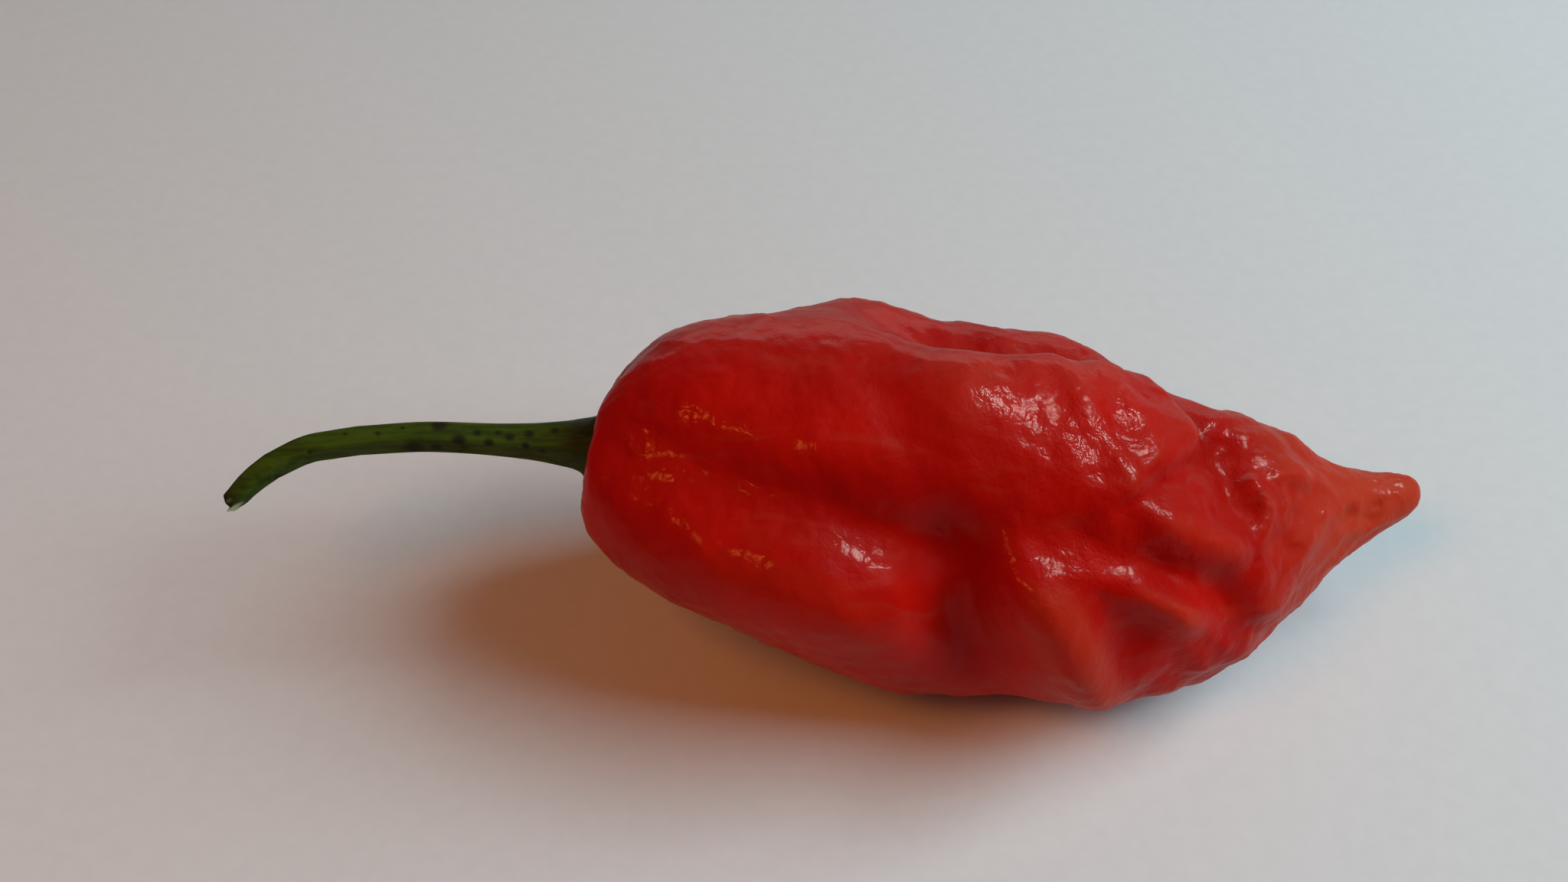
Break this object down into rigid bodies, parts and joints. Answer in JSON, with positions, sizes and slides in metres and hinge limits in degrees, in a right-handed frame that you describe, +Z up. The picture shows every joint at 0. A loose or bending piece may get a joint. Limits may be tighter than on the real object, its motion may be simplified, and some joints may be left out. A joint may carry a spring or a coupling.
{
  "type": "chilli pepper",
  "caption": "Ripe red chilli pepper, lobed and wrinkled with a pointed tail, lying on its side with its green stem.",
  "frame": {"origin": "near the middle of the small flat spot that the pod rests on, at the height of the surface", "axes": "+X from the stem end to the tip, +Z up, -Y the side that the picture shows"},
  "size_m": [0.0902, 0.0303, 0.0267],
  "materials": {
    "pod_skin": "glossy waxy red skin, crinkled, more orange toward the tip",
    "stem_rind": "satin olive green rind with dark brown spots and a pale torn end"
  },
  "bodies": {
    "root": {"pod": "pod_skin", "stem_and_calyx": "stem_rind"}
  },
  "joints": []
}
